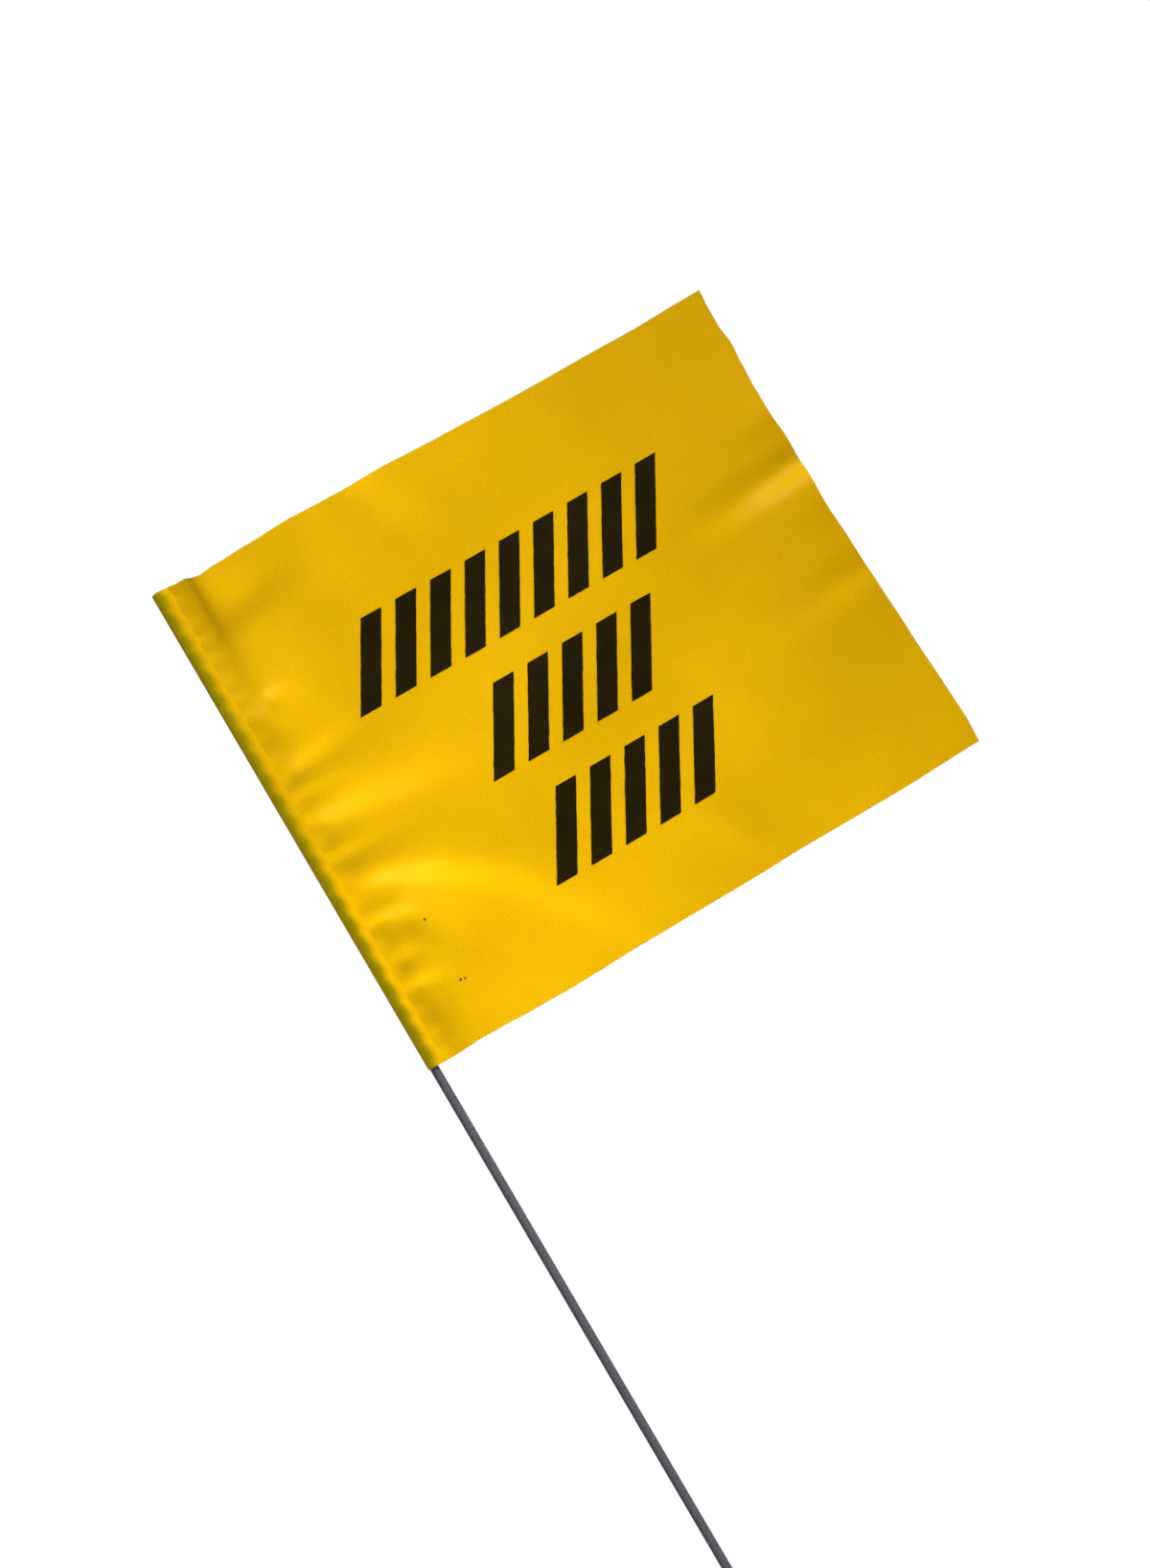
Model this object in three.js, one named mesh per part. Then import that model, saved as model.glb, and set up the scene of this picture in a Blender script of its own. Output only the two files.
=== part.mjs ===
// A marking flag on a wire staff, the kind that is pushed into the ground over a buried line.
//
// A rectangle of thin plastic film has its hoist edge turned round a straight steel wire
// and welded to itself, so that a snug sleeve holds the flag at the top of the staff.
//
// Millimetres, +Z up along the staff. The origin is the centre of the wire's lower end,
// +X points from the staff to the fly edge, and the printed face looks along -Y.

import * as THREE from "three";

// ---- Driving dimensions ----

const STAFF_LENGTH = 533.4; // a 21 inch cut of wire
const WIRE_DIAMETER = 1.7; // 15 1/2 gauge
const WIRE_END_CHAMFER = 0.12; // what the shear rolls off each end

const FLAG_HEIGHT = 101.6; // along the staff, 4 inches
const FLAG_REACH = 118.9; // from the staff's axis to the fly edge
const FILM = 0.1; // thickness of one layer
const TOP_RECESS = 1.5; // how far the wire's upper end stays below the flag's top edge

const SLEEVE_CLEARANCE = 0.15; // between the wire and the film round it
const HEM_REACH = 7.4; // from the staff's axis to the edge of the turned-back layer

const CURL_REACH = 60; // from the staff's axis to the line where the film bends
const CURL_GAP = 0.5; // slit that lets the two halves of the film bend back on each other

const ROUND_SIDES = 24;

// ---- Places that follow from them ----

const wireRadius = WIRE_DIAMETER / 2;
const boreRadius = wireRadius + SLEEVE_CLEARANCE;
const sleeveRadius = boreRadius + FILM;
const flagTop = STAFF_LENGTH + TOP_RECESS;
const flagBottom = flagTop - FLAG_HEIGHT;

// ---- Finishes ----

const drawnSteel = new THREE.MeshStandardMaterial({
  color: 0x565c66,
  roughness: 0.35,
  metalness: 1,
});
const yellowFilm = new THREE.MeshStandardMaterial({
  color: 0xedb900,
  roughness: 0.38,
  metalness: 0,
});

function named(name, geometry, material) {
  const mesh = new THREE.Mesh(geometry, material);
  mesh.name = name;
  return mesh;
}

// A closed outline in X and Y carried up the flag's whole height.
function alongHoist(outline) {
  const geometry = new THREE.ExtrudeGeometry(outline, {
    depth: FLAG_HEIGHT,
    bevelEnabled: false,
    curveSegments: ROUND_SIDES,
  });
  return geometry.translate(0, 0, flagBottom);
}

// The staff: a round wire from the ground end at Z = 0 to its upper end inside the sleeve.
function wireStaff() {
  const endRadius = wireRadius - WIRE_END_CHAMFER;
  const profile = [
    new THREE.Vector2(0, 0),
    new THREE.Vector2(endRadius, 0),
    new THREE.Vector2(wireRadius, WIRE_END_CHAMFER),
    new THREE.Vector2(wireRadius, STAFF_LENGTH - WIRE_END_CHAMFER),
    new THREE.Vector2(endRadius, STAFF_LENGTH),
    new THREE.Vector2(0, STAFF_LENGTH),
  ];
  const geometry = new THREE.LatheGeometry(profile, ROUND_SIDES);
  return named("wire_staff", geometry.rotateX(Math.PI / 2), drawnSteel);
}

// The sleeve: film round the wire, then the front layer and the turned-back hem welded
// together as one strip, two layers thick, on the plane through the wire's axis.
function flagSleeve() {
  const meet = Math.asin(FILM / sleeveRadius); // where the round meets the strip
  const outline = new THREE.Shape();
  outline.moveTo(HEM_REACH, FILM);
  outline.absarc(0, 0, sleeveRadius, meet, 2 * Math.PI - meet, false);
  outline.lineTo(HEM_REACH, -FILM);
  outline.closePath();
  const bore = new THREE.Path();
  bore.absarc(0, 0, boreRadius, 0, 2 * Math.PI, true);
  outline.holes.push(bore);
  return named("flag_sleeve", alongHoist(outline), yellowFilm);
}

// One layer of film from one distance to another from the staff, in line with the sleeve's
// front layer, so its printed face is one film thickness in front of the wire's axis.
function filmPanel(name, near, far) {
  const outline = new THREE.Shape();
  outline.moveTo(near, -FILM);
  outline.lineTo(far, -FILM);
  outline.lineTo(far, 0);
  outline.lineTo(near, 0);
  outline.closePath();
  return named(name, alongHoist(outline), yellowFilm);
}

const markingFlag = new THREE.Group();
markingFlag.add(
  wireStaff(),
  flagSleeve(),
  filmPanel("flag_hoist_panel", HEM_REACH, CURL_REACH - CURL_GAP / 2),
  filmPanel("flag_fly_panel", CURL_REACH + CURL_GAP / 2, FLAG_REACH),
);

export default markingFlag;
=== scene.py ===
"""A ground-marking flag: a rectangle of glossy yellow film, its hoist edge folded round a steel
wire and welded to itself, with three centred rows of slanted black bars printed on one face.

Frame: the origin is the centre of the wire's lower end, +Z runs up the staff, +X runs from the
staff towards the fly edge, and the printed face looks along -Y. On the film, u is the distance
from the hoist edge and v the distance down from the top edge, both in millimetres.
"""

from math import cos, pi, radians, sin, tan

import bpy
import numpy as np
from bpy.props import FloatProperty, FloatVectorProperty, IntProperty, PointerProperty
from bpy.types import Operator, Panel, PropertyGroup
from mathutils import Matrix, Vector


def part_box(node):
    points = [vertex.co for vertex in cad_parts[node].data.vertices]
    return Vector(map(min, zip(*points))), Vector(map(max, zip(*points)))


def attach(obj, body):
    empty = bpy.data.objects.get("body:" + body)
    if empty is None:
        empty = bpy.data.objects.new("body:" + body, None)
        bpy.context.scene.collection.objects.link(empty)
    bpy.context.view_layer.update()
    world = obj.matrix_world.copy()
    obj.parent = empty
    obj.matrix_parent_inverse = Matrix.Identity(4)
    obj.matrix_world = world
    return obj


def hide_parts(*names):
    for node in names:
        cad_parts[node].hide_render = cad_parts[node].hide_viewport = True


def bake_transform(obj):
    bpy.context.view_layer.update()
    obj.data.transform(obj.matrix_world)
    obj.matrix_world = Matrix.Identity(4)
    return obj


bl_info = {
    "name": "Marking Flag",
    "version": (1, 0, 0),
    "blender": (4, 5, 0),
    "location": "3D View > Sidebar > Marking Flag",
    "description": "Builds a printed film flag on its wire staff, with a plain stage to show it",
    "category": "Add Mesh",
}

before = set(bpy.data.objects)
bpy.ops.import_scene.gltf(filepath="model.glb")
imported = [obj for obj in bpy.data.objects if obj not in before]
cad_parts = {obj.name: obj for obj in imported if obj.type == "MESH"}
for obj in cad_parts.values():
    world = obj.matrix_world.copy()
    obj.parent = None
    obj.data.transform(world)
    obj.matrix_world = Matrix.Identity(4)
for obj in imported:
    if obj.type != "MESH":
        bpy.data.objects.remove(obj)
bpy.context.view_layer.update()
staff_low, staff_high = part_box("wire_staff")
sleeve_low, sleeve_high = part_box("flag_sleeve")
_, fly_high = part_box("flag_fly_panel")

MM = 0.001
SEED = 11
CUT_UNIT = 0.1  # one unit of the film's "cut" map, in metres
CUT_TO_MM = CUT_UNIT / MM

# Sizes in millimetres.
FLAG_TOP = sleeve_high[2] / MM
FLAG_HEIGHT = (sleeve_high[2] - sleeve_low[2]) / MM
FLAG_REACH = fly_high[0] / MM
HOIST_EDGE = sleeve_low[0] / MM
HEM_END = sleeve_high[0] / MM
INK_SINK = 0.015  # how far the ink's underside lies within the film
HEM_GRID, FLARE_GRID = 9.0, 3.2  # distances from the wire's axis at which the film's grid changes
FILM_STEP, HEM_STEP, ROW_STEP = 0.78, 0.4, 0.6  # its steps out on the film, near the hem, and down

# Counts of points in the film's grid, beside the wire, round it and along the hem, and in the
# grid of each printed bar, down it and across it.
FLARE_POINTS, TURN_POINTS, HEM_POINTS = 16, 31, 12
BAR_ROWS, BAR_COLUMNS = 34, 13

LAYER_SHARE = 0.6  # from the weld's plane to a layer's middle, as a share of its thickness

# Folds pressed into the film by its packing, as (first point, middle point, last point, height,
# width of one side, width of the other, share of its length over which it rises), with points in
# (u, v). Each dies away slowly towards its last point. A negative height is a valley.
FOLDS = (
    # puckers that fan out from the weld
    ((0.5, 31.2), (8.0, 31.4), (21.0, 33.5), 0.44, 3.8, 4.6, 0.12),
    ((0.5, 41.6), (12.0, 41.8), (34.0, 38.0), 0.36, 2.2, 2.2, 0.12),
    ((1.0, 46.8), (8.0, 46.9), (18.0, 47.6), 0.22, 1.5, 1.9, 0.12),
    ((0.5, 52.9), (15.0, 55.6), (40.0, 60.5), 0.62, 3.3, 5.4, 0.14),
    ((0.5, 60.6), (10.0, 60.8), (24.0, 63.0), 0.36, 1.8, 2.8, 0.12),
    ((0.8, 75.0), (8.5, 75.0), (15.0, 80.5), 0.58, 1.6, 4.6, 0.14),
    ((0.5, 82.0), (6.0, 81.8), (13.0, 83.6), 0.46, 1.4, 2.2, 0.12),
    ((0.5, 87.8), (7.0, 88.2), (14.0, 91.2), 0.60, 1.7, 6.8, 0.12),
    ((7.5, 28.2), (10.6, 27.8), (15.0, 27.6), 0.20, 1.2, 2.2, 0.40),
    # the long fold that sweeps down from the weld, its slack below and the valley above it
    ((0.0, 67.4), (29.5, 83.4), (57.0, 134.0), 0.68, 3.3, 5.6, 0.20),
    ((4.0, 76.0), (20.0, 88.0), (42.0, 122.0), 0.86, 7.0, 12.0, 0.50),
    ((0.0, 64.4), (31.0, 75.0), (57.0, 113.0), -0.11, 5.5, 2.9, 0.30),
    ((4.0, 54.5), (26.0, 57.5), (52.0, 64.0), 0.30, 6.0, 9.0, 0.30),
    ((9.0, 72.5), (14.5, 80.0), (21.0, 93.0), 0.46, 5.0, 3.0, 0.30),
    # the crease along the hem, and the slack beside it at the top
    ((8.4, -8.0), (8.4, 4.0), (8.4, 17.0), 0.34, 3.0, 0.7, 0.12),
    ((9.0, -2.0), (9.0, 14.0), (9.2, 34.0), 0.38, 3.6, 1.8, 0.50),
    ((9.5, 14.5), (16.0, 7.8), (30.0, 4.4), 0.42, 5.0, 2.8, 0.50),
    ((24.0, 26.0), (30.0, 14.0), (34.0, -2.0), 0.16, 3.0, 3.0, 0.40),
    # a ridge from the top edge
    ((38.5, -6.0), (44.5, 9.0), (54.0, 32.0), 0.34, 3.6, 4.2, 0.20),
    # the low corner of the film under its last row of print
    ((82.0, 112.0), (72.0, 91.0), (64.5, 75.0), -0.32, 3.0, 4.6, 0.40),
    # curls that come in from the fly edge
    ((142.0, 37.2), (112.0, 38.4), (84.0, 41.6), -0.54, 2.3, 2.5, 0.50),
    ((128.0, 43.0), (112.0, 44.2), (90.0, 46.5), 0.50, 7.0, 3.0, 0.20),
    ((128.0, 27.0), (116.0, 28.0), (106.0, 29.5), 0.16, 2.2, 4.0, 0.20),
    ((128.0, 61.8), (111.0, 62.6), (86.0, 64.8), -0.28, 2.5, 3.0, 0.20),
    # the weld's end at the foot of the flag
    ((4.6, 108.0), (4.6, 98.0), (5.6, 90.0), -0.26, 1.0, 1.4, 0.20),
)

# Broad leans of the film to its printed side, as (u, v, height, reach along u, reach along v).
LEANS = (
    (22.0, -12.0, 3.2, 26.0, 30.0),
    (112.0, -20.0, 1.4, 40.0, 30.0),
    (24.0, 118.0, 2.4, 24.0, 30.0),
    (94.0, 122.0, 2.6, 34.0, 36.0),
    (136.0, 50.0, 4.0, 26.0, 80.0),
)

# Height of the film's cut edges above their straight lines, as (distance along it, height).
TOP_EDGE = ((-1, 0.0), (3, 0.25), (5.6, -0.1), (6.9, -0.2), (8.4, -0.95), (9.6, -1.25),
            (13, -0.9), (20, -0.6), (30, -0.2), (40, -0.2), (50, 0.25), (62, 0.0), (80, -0.15),
            (105, -0.35), (120, -0.2))
FOOT_EDGE = ((-1, 0.0), (5, 0.15), (7.5, 0.1), (10.5, -0.05), (15, 0.05), (22, 0.35), (30, 0.5),
             (45, 0.3), (70, 0.35), (80, 0.2), (92, 0.3), (102, 0.35), (120, 0.0))
FLY_EDGE = ((0, -0.7), (4, -1.0), (8, -1.1), (12, -0.75), (17, -1.15), (22, -1.5), (28, -1.6),
            (33, -1.25), (40, -1.35), (48, -1.7), (56, -1.35), (66, -1.1), (76, -0.8), (90, -0.5),
            (96, -0.4), (102, -0.75))
EDGE_DEPTH = 18.0  # how far in from an edge its waviness reaches

# How far from the hoist edge the film is tinted: over the wire, with painted shade of the wire
# seen through it, and over the weld and the hem's second layer, partly the doubled film's own
# colour and partly painted shade.
WIRE_SHADE, WELD_SHADE, HEM_SHADE = 2.2, 4.3, 9.9

# Rows of bars, as (name, count, v of the top, v of the foot, u of the middle).
PRINT_ROWS = (
    ("print_top_row", 9, 23.0, 39.1, 58.9),
    ("print_middle_row", 5, 45.8, 62.0, 59.1),
    ("print_bottom_row", 5, 68.5, 84.6, 59.2),
)
SPECKS = ((15.1, 77.6, 0.24), (15.2, 90.4, 0.26), (16.0, 90.6, 0.22))  # u, v and radius


# ---------------------------------------------------------------- settings


class FilmSettings(PropertyGroup):
    """Sizes and colours of the film."""

    thickness: FloatProperty(
        name="Film thickness", description="Thickness of the film",
        default=0.1 * MM, min=0.05 * MM, max=0.3 * MM, unit="LENGTH", precision=5)
    weld: FloatProperty(
        name="Weld distance", description="From the wire's axis to where the two layers meet",
        default=2.4 * MM, min=1.5 * MM, max=4 * MM, unit="LENGTH", precision=5)
    pucker: FloatProperty(
        name="Weld pucker", description="Height of the small puckers along the weld",
        default=0.06 * MM, min=0, max=0.4 * MM, unit="LENGTH", precision=5)
    fold_height: FloatProperty(
        name="Fold height", description="Scales every fold pressed into the film",
        default=1.0, min=0, max=2, subtype="FACTOR")
    colour: FloatVectorProperty(
        name="Film colour", description="Colour of one layer of film",
        default=(0.88, 0.498, 0.0003), size=3, min=0, max=1, subtype="COLOR")
    # tint of the weld and the hem's second layer: partly the doubled film's own colour, partly
    # painted shade
    weld_hem_and_shade_colour: FloatVectorProperty(
        name="Weld tint", description="Tint where the two layers are welded to each other",
        default=(0.60, 0.62, 1.0), size=3, min=0, max=1, subtype="COLOR")
    # painted shade: the film drawn darker and greener where wire or ink behind it blocks light
    shade: FloatVectorProperty(
        name="Shade of what lies behind", description="Tint where wire or ink lies behind the film",
        default=(0.29, 0.58, 0.5), size=3, min=0, max=1, subtype="COLOR")


class PrintSettings(PropertyGroup):
    """Sizes and colour of the printed bars."""

    bar_width: FloatProperty(
        name="Bar width", description="Width of a bar along its row",
        default=4.5 * MM, min=1 * MM, max=10 * MM, unit="LENGTH", precision=4)
    pitch: FloatProperty(
        name="Bar pitch", description="Distance from one bar to the next",
        default=7.5 * MM, min=3 * MM, max=20 * MM, unit="LENGTH", precision=4)
    slant: FloatProperty(
        name="Slant", description="Angle of the bars from upright",
        default=radians(30), min=0, max=radians(60), subtype="ANGLE")
    ink: FloatProperty(
        name="Ink thickness", description="How far the ink stands on the film",
        default=0.03 * MM, min=0.01 * MM, max=0.1 * MM, unit="LENGTH", precision=5)
    colour: FloatVectorProperty(
        name="Ink colour", description="Colour of the ink",
        default=(0.0115, 0.0070, 0.0004), size=3, min=0, max=1, subtype="COLOR")


class StaffSettings(PropertyGroup):
    """Shape and colour of the wire."""

    burr: FloatProperty(
        name="Sheared edge", description="Rounding of the wire's cut ends",
        default=0.12 * MM, min=0.02 * MM, max=0.4 * MM, unit="LENGTH", precision=5)
    sides: IntProperty(
        name="Sides", description="Facets round the wire", default=40, min=12, max=96)
    colour: FloatVectorProperty(
        name="Steel colour", description="Colour of the drawn steel",
        default=(0.235, 0.245, 0.272), size=3, min=0, max=1, subtype="COLOR")


class StageSettings(PropertyGroup):
    """Camera, floor and light."""

    aim: FloatVectorProperty(
        name="Aim", description="Point that the camera looks at",
        default=(48.93 * MM, 0, 464.97 * MM), size=3, subtype="TRANSLATION", unit="LENGTH")
    distance: FloatProperty(
        name="Camera distance", description="From the camera to its aim",
        default=405.3 * MM, min=0.1, unit="LENGTH", precision=4)
    azimuth: FloatProperty(
        name="Azimuth", description="Camera's turn about the staff",
        default=radians(-7.07), subtype="ANGLE")
    elevation: FloatProperty(
        name="Elevation", description="Camera's height angle",
        default=radians(-5.01), subtype="ANGLE")
    roll: FloatProperty(
        name="Roll", description="Camera's turn about its own line of sight",
        default=radians(-30.95), subtype="ANGLE")
    lens: FloatProperty(
        name="Lens", description="Focal length", default=50, min=10, unit="CAMERA")
    floor_radius: FloatProperty(
        name="Floor radius", description="Radius of the floor",
        default=1.0, min=0.3, unit="LENGTH")
    floor_colour: FloatVectorProperty(
        name="Floor colour", description="Colour of the floor",
        default=(0.26, 0.26, 0.257), size=3, min=0, max=1, subtype="COLOR")
    floor_glow: FloatProperty(
        name="Floor glow", description="Even light from the floor, as a lit table gives",
        default=2.75, min=0)
    key: FloatProperty(
        name="Key light", description="Power of the gridded soft light above the printed side",
        default=1.52, min=0, unit="POWER")
    top: FloatProperty(
        name="Top light", description="Power of the wide soft light overhead",
        default=18.3, min=0, unit="POWER")
    back: FloatProperty(
        name="Back light", description="Power of the soft light behind",
        default=4.7, min=0, unit="POWER")
    gloss: FloatProperty(
        name="Gloss light", description="Power of the soft light mirrored by the film's folds",
        default=0.75, min=0, unit="POWER")
    surround: FloatProperty(
        name="Surrounding light", description="Even light on the object from all round",
        default=0.13, min=0)


# ---------------------------------------------------------------- surfaces


def smooth(t):
    """Rises from 0 to 1 as t does, level at both ends: three t squared less two t cubed."""
    t = np.clip(t, 0.0, 1.0)
    return t * t * (3 - 2 * t)


def along(points, at):
    """Height of a wavy edge at each distance, as a smooth run between (distance, height) pairs."""
    distance, height = np.array(points, float).T
    step = np.clip(np.searchsorted(distance, at) - 1, 0, len(distance) - 2)
    share = (at - distance[step]) / (distance[step + 1] - distance[step])
    return height[step] + (height[step + 1] - height[step]) * smooth(share)


def fold(u, v, first, middle, last, height, left, right, rise):
    """One pressed fold: a bell curve across a bowed line, rising over its first share of length
    and slow to fade and widen towards its last point. The line is the parabola through its three
    points, in forty straight steps, and each place takes its height from its nearest step."""
    first, middle, last = (np.array(p, float) for p in (first, middle, last))
    t = np.linspace(0, 1, 41)[:, None]
    bow = 2 * middle - (first + last) / 2
    line = (1 - t) ** 2 * first + 2 * t * (1 - t) * bow + t**2 * last
    nearest = np.full(u.shape, np.inf)
    side, share = np.zeros(u.shape), np.zeros(u.shape)
    for k, (start, end) in enumerate(zip(line[:-1], line[1:])):
        step = end - start
        du, dv = u - start[0], v - start[1]
        along_step = np.clip((du * step[0] + dv * step[1]) / (step @ step), 0, 1)
        apart = np.hypot(du - along_step * step[0], dv - along_step * step[1])
        closer = apart < nearest
        nearest = np.where(closer, apart, nearest)
        side = np.where(closer, step[0] * dv - step[1] * du, side)
        share = np.where(closer, (k + along_step) / (len(line) - 1), share)
    across = nearest / (np.where(side > 0, right, left) * (0.8 + 0.8 * share))
    fade = smooth(share / rise) * smooth((1 - share) / 0.7)
    return height * np.exp(-across * across) * fade


def weld_phase(v):
    """Count of weld teeth passed at each v: one about every 4.4 mm, unevenly spaced, from a
    little above the film's top."""
    first = -4.0
    teeth = np.random.default_rng(SEED).uniform(3.7, 5.1, 40)
    places = np.concatenate([[first], np.cumsum(teeth) + first])
    return np.interp(v, places, np.arange(len(places)))


def relief(u, v, film):
    """How far the film stands towards its printed side, in millimetres: the sum of every fold,
    a slow unevenness made of five crossing waves of even steepness, the broad leans, each a bell
    curve both ways, and the weld's puckers, which die away from the hoist. Each grows from
    nothing just past the wire."""
    total = sum(fold(u, v, *row) for row in FOLDS)
    steepness = 0.022
    waves = np.random.default_rng(SEED + 1).uniform((0.12, 0, 0), (0.42, pi, 2 * pi), (5, 3))
    for rate, heading, start in waves:
        total = total + steepness / rate * np.sin(
            rate * (u * cos(heading) + v * sin(heading)) + start)
    pucker = film.pucker / MM * np.cos(2 * pi * weld_phase(v)) * np.exp(-np.maximum(u - 3, 0) / 1.7)
    lean = sum(height * np.exp(-((u - middle) / wide) ** 2 - ((v - level) / tall) ** 2)
               for middle, level, height, wide, tall in LEANS)
    return (total * smooth((u - 2.4) / 5) + lean * smooth((u - 1.5) / 10)
            + pucker * smooth((u - 2) / 2)) * film.fold_height


def film_depth(u, v, film):
    """Distance of the single layer's middle from the plane of the wire, towards -Y, in
    millimetres."""
    return LAYER_SHARE * film.thickness / MM + relief(u, v, film)


def film_outline(u, v):
    """Moves a place on the flat rectangle so that its edges wave: each edge's own height, fading
    over EDGE_DEPTH from that edge. Returns x and z in millimetres."""
    lift = along(TOP_EDGE, u) * smooth(1 - v / EDGE_DEPTH)
    lift = lift + along(FOOT_EDGE, u) * -smooth(1 - (FLAG_HEIGHT - v) / EDGE_DEPTH)
    reach = along(FLY_EDGE, v) * smooth(1 - (FLAG_REACH - HOIST_EDGE - u) / EDGE_DEPTH)
    return u + HOIST_EDGE + reach, FLAG_TOP - v + lift


def bars_over(u, v, bars):
    """1 where a printed bar covers (u, v), 0 where none does, soft over a millimetre."""
    cover = np.zeros(u.shape)
    half, pitch = bars.bar_width / MM / 2, bars.pitch / MM
    for _, count, top, foot, middle in PRINT_ROWS:
        lean = ((top + foot) / 2 - v) * tan(bars.slant)
        place = (u - middle - lean) / pitch + (count - 1) / 2
        nearest = np.clip(np.round(place), 0, count - 1)
        across = half - np.abs(place - nearest) * pitch
        along_bar = np.minimum(v - top, foot - v)
        cover = np.maximum(cover, smooth(np.minimum(across, along_bar) + 0.5))
    return cover


def closed_sheet(outer, inner):
    """Two grids of points, as (rows, columns, 3) arrays, closed into one skin: the outer grid,
    the inner grid turned over, and a strip along their rims. Returns its points and its faces,
    each face as four point numbers."""
    rows, columns = outer.shape[:2]
    count = rows * columns
    index = np.arange(count).reshape(rows, columns)
    corners = (index[:-1, :-1], index[:-1, 1:], index[1:, 1:], index[1:, :-1])
    face = np.stack(corners, -1).reshape(-1, 4)
    rim = np.concatenate([index[0, :-1], index[:-1, -1], index[-1, :0:-1], index[:0:-1, 0]])
    after = np.roll(rim, -1)
    wall = np.stack([after, rim, rim + count, after + count], -1)
    points = np.concatenate([outer.reshape(-1, 3), inner.reshape(-1, 3)])
    return points, np.concatenate([face, face[:, ::-1] + count, wall])


def piece(name, points, faces, material, cut=None, values=None):
    """A mesh object from points in metres and faces as lists of point numbers. cut is the place
    of each point on the flat film, and values are named sets of one number for each point."""
    mesh = bpy.data.meshes.new(name)
    mesh.from_pydata(points.tolist(), [], faces)
    if cut is not None:
        corner = np.empty(len(mesh.loops), int)
        mesh.loops.foreach_get("vertex_index", corner)
        mesh.uv_layers.new(name="cut").uv.foreach_set("vector", cut[corner].ravel())
    for label, numbers in (values or {}).items():
        layer = mesh.attributes.new(label, "FLOAT", "POINT")
        layer.data.foreach_set("value", numbers.astype(np.float32).ravel())
    mesh.shade_smooth()
    mesh.set_sharp_from_angle(angle=radians(40))
    mesh.materials.append(material)
    made = bpy.data.objects.new(name, mesh)
    bpy.context.scene.collection.objects.link(made)
    return made


def film_path(radius, weld):
    """The film's middle line seen from above, from the fly edge along the printed side, round
    the wire and back to the hem's end. Returns, for each point of it, x, its side (-1 on the
    printed side, 1 on the other, and between them the sine of its turn about the wire's axis
    where it hugs the wire) and whether it hugs the wire, and then the x at which it lets go."""
    leave = np.arccos(radius / weld)
    let_go = radius * cos(leave)
    front = np.concatenate([np.arange(FLAG_REACH, HEM_GRID, -FILM_STEP),
                            np.arange(HEM_GRID, FLARE_GRID, -HEM_STEP)])
    flare = np.linspace(FLARE_GRID, let_go, FLARE_POINTS)[:-1]
    turn = np.linspace(-leave, leave - 2 * pi, TURN_POINTS)
    hem = np.linspace(FLARE_GRID, HEM_END, HEM_POINTS)[1:]
    x = np.concatenate([front, flare, radius * np.cos(turn), flare[::-1], [FLARE_GRID], hem])
    side = np.concatenate([
        np.full(len(front) + len(flare), -1.0), np.sin(turn), np.ones(len(flare) + 1 + len(hem))])
    hugs = np.zeros(len(x), bool)
    hugs[len(front) + len(flare):len(front) + len(flare) + len(turn)] = True
    return x, side, hugs, let_go


def half_gap(x, weld, let_go, radius, layer):
    """Distance of each layer's middle from the wire's plane: from where it lets go of the wire,
    at t = 0, it closes to the weld, at t = 1, as (1 - t) squared times (1 + t)."""
    t = np.clip((x - let_go) / (weld - let_go), 0, 1)
    start = np.sqrt(radius**2 - let_go**2)
    return layer + (start - layer) * (1 - t) ** 2 * (1 + t)


def film_tints(u, v, side, teeth, bars):
    """Two masks from 0 to 1 for the skin's outer and inner face: painted shade where wire or ink
    lies behind each place and darkens it through the film, and a darker tint in the weld and
    where the hem doubles the film, partly the doubled film's own colour and partly painted shade.
    Each is a soft band along the hoist, and its edge follows the teeth, a number that runs from
    0 to 1 and back along each tooth of the weld. The weld's band narrows down the flag, and the
    doubled film's tint is stronger near its top, which is painted shade."""
    wire_edge = WIRE_SHADE + 0.5 * (teeth - 0.5)
    # painted shade of the wire, seen through the film
    painted_wire_shade = (0.5 + 0.2 * teeth) * smooth(u / 0.9 + 0.12) * smooth((wire_edge - u) / 0.9)
    # painted shade of the ink, seen from behind on the printed layer's inner face
    printed = 0.8 * bars_over(u, v, bars) * (side == -1)
    # the weld's and the hem's tint: partly the doubled film's own colour, partly painted shade, the
    # hem's strongest near the top
    weld_edge = WELD_SHADE + 0.3 * (teeth - 0.5) - 0.6 * smooth((v - 50) / 25)
    welded = smooth(u / 0.8 - 0.2) * smooth((weld_edge - u) / 2.4)
    doubled = smooth((HEM_SHADE - u) / 3.5) * (0.05 + 0.37 * smooth((50 - v) / 22))
    return {"behind": np.concatenate([painted_wire_shade, np.maximum(painted_wire_shade, printed)]),
            "doubled_film_and_shade": np.tile(np.maximum(welded, doubled), (2, 1))}


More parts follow.
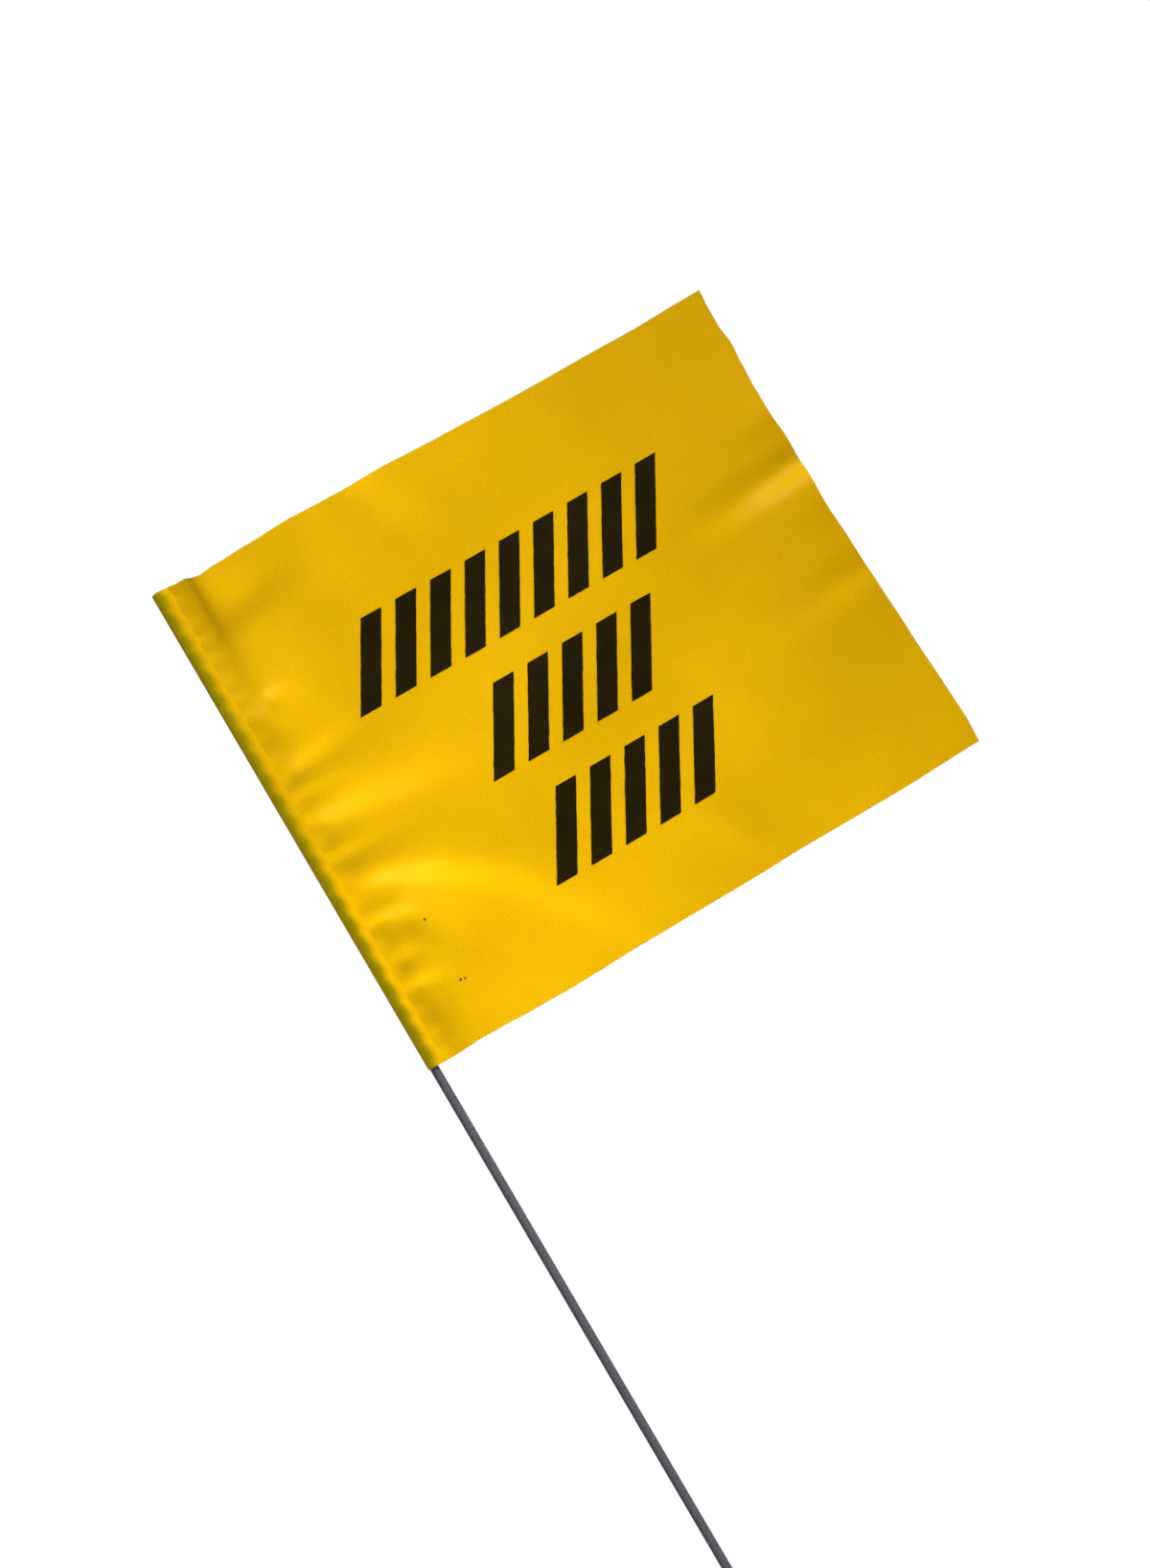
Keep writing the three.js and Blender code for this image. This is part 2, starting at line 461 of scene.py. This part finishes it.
def film_surface(film, bars):
    """The whole film as one closed skin, with its place on the flat cut, its tints and its
    length from fly edge to hem end. Each row of the grid is the plan line at one height, moved
    by the relief and the outline, and the skin's faces stand half a thickness to each side of
    it, along the cross product of the grid's two directions. The weld comes and goes along the
    staff, and the folds move both layers together."""
    thickness, layer = film.thickness / MM, LAYER_SHARE * film.thickness / MM
    radius, weld = sleeve_high[1] / MM - thickness / 2, film.weld / MM
    x, side, hugs, let_go = film_path(radius, weld)
    v = np.linspace(0, FLAG_HEIGHT, int(FLAG_HEIGHT / ROW_STEP) + 1)[:, None]
    teeth = np.abs(np.sin(pi * weld_phase(v)))
    gap = half_gap(x[None, :], weld + 0.4 * (teeth - 0.6), let_go, radius, layer)
    y = np.where(hugs, radius * side, side * gap)
    u, v = np.broadcast_to(x - HOIST_EDGE, y.shape), np.broadcast_to(v, y.shape)
    moved_x, z = film_outline(u, v)
    middle = np.stack([moved_x, y - relief(u, v, film), z], -1)
    normal = np.cross(np.gradient(middle, axis=1), np.gradient(middle, axis=0))
    normal *= thickness / 2 / np.linalg.norm(normal, axis=-1, keepdims=True)
    points, faces = closed_sheet((middle + normal) * MM, (middle - normal) * MM)

    even_y = np.where(hugs, radius * side, side * half_gap(x, weld, let_go, radius, layer))
    steps = np.concatenate([[0], np.cumsum(np.hypot(np.diff(x), np.diff(even_y)))])
    fold_line = steps[hugs].mean()
    cut = np.stack([np.broadcast_to(fold_line - steps, v.shape), FLAG_HEIGHT - v], -1) / CUT_TO_MM
    cut = np.tile(cut.reshape(-1, 2), (2, 1))
    return points, faces.tolist(), cut, film_tints(u, v, side, teeth, bars), steps[-1]


def bar_surface(row, film, bars):
    """One row of slanted bars lying on the film: each bar is a grid across its width and down
    its height, leaning by the slant, with slightly uneven sides, and follows the film's folds."""
    _, count, top, foot, middle = row
    down = np.linspace(0, 1, BAR_ROWS)[None, :, None]
    across = np.linspace(-1, 1, BAR_COLUMNS)[None, None, :]
    number = np.arange(count)[:, None, None]
    rough = np.random.default_rng(SEED + int(top)).normal(0, 0.035, (count, BAR_ROWS, 2))
    rough = (rough + np.roll(rough, 1, axis=1)) / 2
    edge = np.where(across < 0, rough[:, :, :1], rough[:, :, 1:]) * np.abs(across) ** 4
    v = np.broadcast_to(top + (foot - top) * down, (count, BAR_ROWS, BAR_COLUMNS))
    lean = (0.5 - down) * (foot - top) * tan(bars.slant)
    u = (middle + (number - (count - 1) / 2) * bars.pitch / MM + lean
         + across * bars.bar_width / MM / 2 + edge)
    x, z = film_outline(u, v)
    face = film_depth(u, v, film) + film.thickness / MM / 2
    stacks = [closed_sheet(*(np.stack([x[k], -(face[k] + rise), z[k]], -1) * MM
                             for rise in (bars.ink / MM, -INK_SINK))) for k in range(count)]
    size = len(stacks[0][0])
    points = np.concatenate([s[0] for s in stacks])
    faces = np.concatenate([s[1] + k * size for k, s in enumerate(stacks)])
    flat = np.stack([u + HOIST_EDGE, FLAG_HEIGHT - v], -1).reshape(count, -1, 2)
    cut = np.tile(flat, (1, 2, 1)).reshape(-1, 2) / CUT_TO_MM
    return points, faces[:, ::-1].tolist(), cut


def wire_surface(staff):
    """The wire: a circle carried up its length, drawn in over a rounded edge at each cut end,
    and closed by a point in the middle of each end."""
    low, high = staff_low[2], staff_high[2]
    radius = (staff_high[0] - staff_low[0]) / 2
    quarter = np.linspace(0, pi / 2, 5)
    drawn_in = radius - staff.burr + staff.burr * np.sin(quarter)
    rise = staff.burr * (1 - np.cos(quarter))
    straight = np.linspace(low + staff.burr, high - staff.burr, 62)[1:-1]
    ring = np.concatenate([drawn_in, np.full(len(straight), radius), drawn_in[::-1]])
    height = np.concatenate([low + rise, straight, high - rise[::-1]])
    turn = np.arange(staff.sides) * 2 * pi / staff.sides
    wall = np.stack(np.broadcast_arrays(
        ring[:, None] * np.cos(turn), ring[:, None] * np.sin(turn), height[:, None]), -1)
    points = np.concatenate([wall.reshape(-1, 3), [[0, 0, low]], [[0, 0, high]]])
    index = np.arange(wall.shape[0] * staff.sides).reshape(wall.shape[0], staff.sides)
    beside = np.roll(index, -1, axis=1)
    quads = np.stack([index[:-1], beside[:-1], beside[1:], index[1:]], -1).reshape(-1, 4)
    foot, tip = len(points) - 2, len(points) - 1
    foot_fan = np.stack([beside[0], index[0], np.full(staff.sides, foot)], -1)
    tip_fan = np.stack([index[-1], beside[-1], np.full(staff.sides, tip)], -1)
    return points, quads.tolist() + foot_fan.tolist() + tip_fan.tolist()


# ---------------------------------------------------------------- finishes


def feed(tree, socket, value):
    """Links value to socket where it is a socket itself, and sets it there where it isn't."""
    if isinstance(value, bpy.types.NodeSocket):
        tree.links.new(value, socket)
    elif socket.type == "RGBA":
        socket.default_value = (*value[:3], 1)
    else:
        socket.default_value = value


def add(tree, kind, **settings):
    """A new node in tree. A setting with the name of one of its sockets feeds that socket, and
    any other sets the node's own option."""
    node = tree.nodes.new(kind)
    for name, value in settings.items():
        named = (s for s in node.inputs if s.enabled and s.name.replace(" ", "_") == name)
        socket = next(named, None)
        if socket:
            feed(tree, socket, value)
        else:
            setattr(node, name, value)
    return node


def calculate(tree, operation, a, b):
    """The result of a Math node on two numbers or sockets."""
    node = add(tree, "ShaderNodeMath", operation=operation)
    feed(tree, node.inputs[0], a)
    feed(tree, node.inputs[1], b)
    return node.outputs["Value"]


def remap(tree, value, low, high, to_low=0.0, to_high=1.0):
    """value carried smoothly from the range low..high to the range to_low..to_high."""
    node = add(tree, "ShaderNodeMapRange", interpolation_type="SMOOTHSTEP", Value=value,
               From_Min=low, From_Max=high, To_Min=to_low, To_Max=to_high)
    return node.outputs["Result"]


def blend_colour(tree, how, share, a, b):
    """Two colours mixed in the way how, by share."""
    node = add(tree, "ShaderNodeMix", data_type="RGBA", blend_type=how, Factor=share, A=a, B=b)
    return next(socket for socket in node.outputs if socket.enabled)


def grain_group():
    """Node group: cloudy mottle and fine grain at a place in millimetres, each from 0 to 1.
    Size is the width of a grain in millimetres, and the mottle is thirty grains wide."""
    tree = bpy.data.node_groups.new("fine grain", "ShaderNodeTree")
    for name, kind in (("Place", "NodeSocketVector"), ("Size", "NodeSocketFloat")):
        tree.interface.new_socket(name, in_out="INPUT", socket_type=kind)
    for name in ("Mottle", "Grain"):
        tree.interface.new_socket(name, in_out="OUTPUT", socket_type="NodeSocketFloat")
    given, result = tree.nodes.new("NodeGroupInput"), tree.nodes.new("NodeGroupOutput")
    rate = calculate(tree, "DIVIDE", 1.0, given.outputs["Size"])
    for name, share, detail in (("Grain", 1.0, 3.0), ("Mottle", 1 / 30, 2.0)):
        noise = add(tree, "ShaderNodeTexNoise", Vector=given.outputs["Place"],
                    Scale=calculate(tree, "MULTIPLY", rate, share), Detail=detail)
        tree.links.new(noise.outputs["Fac"], result.inputs[name])
    return tree


def use_grain(tree, place, size):
    """The fine grain group in a material: (mottle, grain)."""
    node = tree.nodes.new("ShaderNodeGroup")
    node.node_tree = bpy.data.node_groups.get("fine grain") or grain_group()
    tree.links.new(place, node.inputs["Place"])
    node.inputs["Size"].default_value = size
    return node.outputs["Mottle"], node.outputs["Grain"]


def roughen(tree, shader, height, strength, depth):
    """Gives the shader fine bumps that follow height."""
    bump = add(tree, "ShaderNodeBump", Strength=strength, Distance=depth, Height=height)
    tree.links.new(bump.outputs["Normal"], shader.inputs["Normal"])


def new_material(name, colour):
    """A new material with nothing set but its colour in a plain view: (material, tree, shader)."""
    material = bpy.data.materials.new(name)
    material.use_nodes = True
    material.diffuse_color = (*colour[:3], 1)
    tree = material.node_tree
    shader = next(n for n in tree.nodes if n.type == "BSDF_PRINCIPLED")
    return material, tree, shader


def place_on_cut(tree):
    """The place on the flat film in millimetres, read from the piece's own cut map."""
    cut = add(tree, "ShaderNodeUVMap", uv_map="cut")
    scaled = add(tree, "ShaderNodeVectorMath", operation="SCALE", Vector=cut.outputs["UV"],
                 Scale=CUT_TO_MM)
    return scaled.outputs["Vector"]


def film_material(film):
    """Glossy dyed film: cloudy and finely grained, with painted shade, darker and greener, where
    wire or ink lies behind it, darker in the weld and where the hem doubles it, partly the
    doubled film's own colour and partly painted shade, and with three specks from the mill."""
    material, tree, shader = new_material("yellow film", film.colour)
    place = place_on_cut(tree)
    mottle, grain = use_grain(tree, place, 0.3)
    cloudy = [c * f for c, f in zip(film.colour, (0.972, 0.958, 1.0))]
    speck_colour = (0.11, 0.03, 0.008)
    behind, doubled_film_and_shade = (add(tree, "ShaderNodeAttribute", attribute_name=name).outputs["Fac"]
                      for name in ("behind", "doubled_film_and_shade"))
    colour = blend_colour(tree, "MIX", remap(tree, mottle, 0.3, 0.7), film.colour, cloudy)
    # darker in the weld and hem, partly the doubled film's own colour and partly painted shade
    colour = blend_colour(tree, "MULTIPLY", doubled_film_and_shade, colour, film.weld_hem_and_shade_colour)
    # painted shade where wire or ink lies behind the film
    colour = blend_colour(tree, "MULTIPLY", behind, colour, film.shade)
    colour = blend_colour(tree, "MULTIPLY", remap(tree, grain, 0.35, 0.65), colour,
                          (0.87, 0.85, 0.70))
    for u, v, radius in SPECKS:
        apart = add(tree, "ShaderNodeVectorMath", operation="DISTANCE")
        feed(tree, apart.inputs[0], place)
        feed(tree, apart.inputs[1], (u + HOIST_EDGE, FLAG_HEIGHT - v, 0))
        spot = remap(tree, apart.outputs["Value"], radius * 0.7, radius * 1.3, 1.0, 0.0)
        colour = blend_colour(tree, "MIX", spot, colour, speck_colour)
    tree.links.new(colour, shader.inputs["Base Color"])
    tree.links.new(remap(tree, mottle, 0.3, 0.7, 0.18, 0.25), shader.inputs["Roughness"])
    shader.inputs["Specular IOR Level"].default_value = 0.13
    roughen(tree, shader, grain, 0.12, 0.02 * MM)
    return material


def ink_material(bars):
    """Matt printing ink: grainy and slightly thin, so that the dye shows through as a brown
    cast in pinholes and along its coarse grain."""
    material, tree, shader = new_material("print ink", bars.colour)
    place = place_on_cut(tree)
    mottle, grain = use_grain(tree, place, 0.2)
    thin = [c * f for c, f in zip(bars.colour, (3.0, 3.4, 2.5))]
    colour = blend_colour(tree, "MIX", remap(tree, grain, 0.42, 0.72), bars.colour, thin)
    colour = blend_colour(tree, "MULTIPLY", remap(tree, mottle, 0.3, 0.7), colour,
                          (0.75, 0.75, 0.8))
    tree.links.new(colour, shader.inputs["Base Color"])
    tree.links.new(remap(tree, grain, 0.3, 0.7, 0.45, 0.62), shader.inputs["Roughness"])
    shader.inputs["Specular IOR Level"].default_value = 0.05
    roughen(tree, shader, grain, 0.3, 0.03 * MM)
    return material


def steel_material(staff):
    """Drawn wire under a thin grey oxide: faint lines along its length, soft clouds, and a trace
    of rust over its lowest 30 mm."""
    material, tree, shader = new_material("drawn steel", staff.colour)
    where = add(tree, "ShaderNodeTexCoord").outputs["Object"]
    # both are drawn out along the wire: the lines forty times, and the clouds about three
    lines_place = add(tree, "ShaderNodeMapping", Vector=where, Scale=(1000, 1000, 25))
    cloud_place = add(tree, "ShaderNodeMapping", Vector=where, Scale=(400, 400, 120))
    _, lines = use_grain(tree, lines_place.outputs["Vector"], 0.12)
    cloud, spots = use_grain(tree, cloud_place.outputs["Vector"], 0.6)
    dull = [c * 0.8 for c in staff.colour]
    rust_colour = (0.13, 0.045, 0.015)
    colour = blend_colour(tree, "MIX", remap(tree, lines, 0.35, 0.65), dull, staff.colour)
    colour = blend_colour(tree, "MULTIPLY", remap(tree, cloud, 0.35, 0.65), colour,
                          (0.86, 0.86, 0.9))
    height = add(tree, "ShaderNodeSeparateXYZ", Vector=where).outputs["Z"]
    rust = calculate(tree, "MULTIPLY", remap(tree, height, 0.0, 0.03, 1.0, 0.0),
                     remap(tree, spots, 0.45, 0.65))
    colour = blend_colour(tree, "MIX", rust, colour, rust_colour)
    tree.links.new(colour, shader.inputs["Base Color"])
    tree.links.new(calculate(tree, "SUBTRACT", 0.6, rust), shader.inputs["Metallic"])
    tree.links.new(remap(tree, lines, 0.3, 0.7, 0.15, 0.23), shader.inputs["Roughness"])
    roughen(tree, shader, lines, 0.1, 0.01 * MM)
    return material


def floor_material(stage):
    """Pale matt floor that glows evenly and fades out towards its rim, so that no edge shows. It
    lights the object a little less than it shows itself."""
    material, tree, shader = new_material("pale floor", stage.floor_colour)
    where = add(tree, "ShaderNodeTexCoord").outputs["Object"]
    place = add(tree, "ShaderNodeVectorMath", operation="SCALE", Vector=where, Scale=100.0)
    mottle, _ = use_grain(tree, place.outputs["Vector"], 1.0)
    colour = blend_colour(tree, "MIX", mottle, stage.floor_colour,
                          [c * 0.985 for c in stage.floor_colour])
    from_middle = add(tree, "ShaderNodeVectorMath", operation="LENGTH", Vector=where)
    fade = remap(tree, from_middle.outputs["Value"], 0.45 * stage.floor_radius,
                 0.98 * stage.floor_radius, 1.0, 0.0)
    tree.links.new(colour, shader.inputs["Base Color"])
    tree.links.new(fade, shader.inputs["Alpha"])
    tree.links.new(colour, shader.inputs["Emission Color"])
    seen = add(tree, "ShaderNodeLightPath").outputs["Is Camera Ray"]
    tree.links.new(remap(tree, seen, 0.0, 1.0, 0.68 * stage.floor_glow, stage.floor_glow),
                   shader.inputs["Emission Strength"])
    shader.inputs["Roughness"].default_value = 0.7
    shader.inputs["Specular IOR Level"].default_value = 0.2
    return material


# ---------------------------------------------------------------- operators


def bend_over_curl(made):
    """Bakes the piece's placement into its mesh."""
    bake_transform(made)


class MARKINGFLAG_OT_staff(Operator):
    """Draw the wire staff, with its two sheared ends"""

    bl_idname = "markingflag.staff"
    bl_label = "Wire Staff"
    bl_options = {"REGISTER", "UNDO"}

    def execute(self, context):
        staff = context.scene.marking_flag_staff
        points, faces = wire_surface(staff)
        wire = piece("staff_wire", points, faces, steel_material(staff))
        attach(wire, "staff")
        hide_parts("wire_staff")
        return {"FINISHED"}


class MARKINGFLAG_OT_film(Operator):
    """Fold the film round the wire, weld it and press the folds into it"""

    bl_idname = "markingflag.film"
    bl_label = "Film Flag"
    bl_options = {"REGISTER", "UNDO"}

    def execute(self, context):
        film, bars = context.scene.marking_flag_film, context.scene.marking_flag_print
        points, faces, cut, tints, length = film_surface(film, bars)
        sheet = piece("marking_film", points, faces, film_material(film), cut, tints)
        bend_over_curl(sheet)
        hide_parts("flag_sleeve", "flag_hoist_panel", "flag_fly_panel")
        return {"FINISHED"}


class MARKINGFLAG_OT_print(Operator):
    """Print the three rows of slanted bars on the film"""

    bl_idname = "markingflag.print"
    bl_label = "Printed Rows"
    bl_options = {"REGISTER", "UNDO"}

    def execute(self, context):
        film, bars = context.scene.marking_flag_film, context.scene.marking_flag_print
        ink = ink_material(bars)
        for row in PRINT_ROWS:
            points, faces, cut = bar_surface(row, film, bars)
            printed = piece(row[0], points, faces, ink, cut)
            bend_over_curl(printed)
        return {"FINISHED"}


class MARKINGFLAG_OT_stage(Operator):
    """Set the floor, the white surroundings, the soft lights and the camera"""

    bl_idname = "markingflag.stage"
    bl_label = "Stage"
    bl_options = {"REGISTER", "UNDO"}

    def execute(self, context):
        scene, stage = context.scene, context.scene.marking_flag_stage
        set_floor(scene, stage)
        set_surroundings(scene, stage)
        middle = Vector((FLAG_REACH / 2, 0, FLAG_TOP - FLAG_HEIGHT / 2)) * MM
        # the key's beam is aimed below the flag and beyond its staff, so it fades across the film
        staff_side = middle + Vector((-0.29, 0, -0.46))
        add_light(scene, "key", staff_side, (0.30, -0.44, 1.43), (0.3, 0.3), stage.key,
                  radians(30))
        add_light(scene, "top", middle, (0.06, -0.10, 2.0), (1.0, 1.0), stage.top)
        add_light(scene, "back", middle, (0.15, 0.75, 0.95), (0.7, 0.7), stage.back)
        add_light(scene, "gloss", middle, (-0.02, -0.87, 0.95), (0.4, 0.2), stage.gloss)
        set_camera(scene, stage)
        return {"FINISHED"}


def set_floor(scene, stage):
    """A round pale floor under the staff's foot: a small disc inside three rings."""
    sides = 96
    turn = np.arange(sides) * 2 * pi / sides
    rings = np.array([0.02, 0.3, 0.6, 1.0])[:, None] * stage.floor_radius
    points = np.stack([rings * np.cos(turn), rings * np.sin(turn), 0 * rings * turn], -1)
    index = np.arange(rings.size * turn.size).reshape(rings.size, turn.size)
    beside = np.roll(index, -1, axis=1)
    quads = np.stack([index[:-1], index[1:], beside[1:], beside[:-1]], -1).reshape(-1, 4)
    mesh = bpy.data.meshes.new("floor")
    mesh.from_pydata(points.reshape(-1, 3).tolist(), [], quads.tolist() + [index[0].tolist()])
    mesh.materials.append(floor_material(stage))
    floor = bpy.data.objects.new("floor", mesh)
    scene.collection.objects.link(floor)


def set_surroundings(scene, stage):
    """White behind the object, a dimmer even light on it from all round, and colours shown with
    no film look."""
    world = bpy.data.worlds.new("white surroundings")
    world.use_nodes = True
    tree = world.node_tree
    background = next(n for n in tree.nodes if n.type == "BACKGROUND")
    background.inputs["Color"].default_value = (1, 1, 1, 1)
    seen = add(tree, "ShaderNodeLightPath").outputs["Is Camera Ray"]
    strength = add(tree, "ShaderNodeMapRange", Value=seen, To_Min=stage.surround, To_Max=1.0)
    tree.links.new(strength.outputs["Result"], background.inputs["Strength"])
    scene.world = world
    scene.view_settings.view_transform = "Standard"


def add_light(scene, name, aim, place, size, power, spread=pi):
    """A soft light at place, facing aim, that the camera doesn't see. size is its width and its
    height. A spread under a half turn narrows its beam, as a grid in front of it does."""
    data = bpy.data.lights.new(name, "AREA")
    data.shape, data.energy, data.spread = "RECTANGLE", power, spread
    data.size, data.size_y = size
    light = bpy.data.objects.new(name, data)
    light.location = place
    light.rotation_euler = (Vector(place) - aim).to_track_quat("Z", "Y").to_euler()
    light.visible_camera = False
    scene.collection.objects.link(light)


def set_camera(scene, stage):
    """The camera at its distance from the aim, turned by azimuth and elevation, then rolled."""
    a, e, r = stage.azimuth, stage.elevation, stage.roll
    back = Vector((sin(a) * cos(e), -cos(a) * cos(e), sin(e)))
    level = Vector((cos(a), sin(a), 0))
    right = level * cos(r) + back.cross(level) * sin(r)
    axes = Matrix((right, back.cross(right), back)).transposed().to_4x4()
    data = bpy.data.cameras.new("camera")
    data.lens, data.sensor_width, data.clip_start = stage.lens, 36, 0.01
    camera = bpy.data.objects.new("camera", data)
    camera.matrix_world = Matrix.Translation(Vector(stage.aim) + back * stage.distance) @ axes
    scene.collection.objects.link(camera)
    scene.camera = camera


class MARKINGFLAG_PT_panel(Panel):
    """Settings and a button for each step of the marking flag"""

    bl_idname = "MARKINGFLAG_PT_panel"
    bl_label = "Marking Flag"
    bl_space_type = "VIEW_3D"
    bl_region_type = "UI"
    bl_category = "Marking Flag"

    def draw(self, context):
        for operator, group, _ in STEPS:
            box = self.layout.box()
            settings = getattr(context.scene, group)
            for name in settings.__annotations__:
                box.prop(settings, name)
            box.operator(operator.bl_idname)


# Each step's operator, the scene's name for its settings, and their class.
STEPS = (
    (MARKINGFLAG_OT_staff, "marking_flag_staff", StaffSettings),
    (MARKINGFLAG_OT_film, "marking_flag_film", FilmSettings),
    (MARKINGFLAG_OT_print, "marking_flag_print", PrintSettings),
    (MARKINGFLAG_OT_stage, "marking_flag_stage", StageSettings),
)


def register():
    for operator, name, group in STEPS:
        bpy.utils.register_class(group)
        setattr(bpy.types.Scene, name, PointerProperty(type=group))
        bpy.utils.register_class(operator)
    bpy.utils.register_class(MARKINGFLAG_PT_panel)


def unregister():
    bpy.utils.unregister_class(MARKINGFLAG_PT_panel)
    for operator, name, group in reversed(STEPS):
        bpy.utils.unregister_class(operator)
        delattr(bpy.types.Scene, name)
        bpy.utils.unregister_class(group)


def main():
    register()
    bpy.ops.markingflag.staff()
    bpy.ops.markingflag.film()
    bpy.ops.markingflag.print()
    bpy.ops.markingflag.stage()


if __name__ == "__main__":
    main()
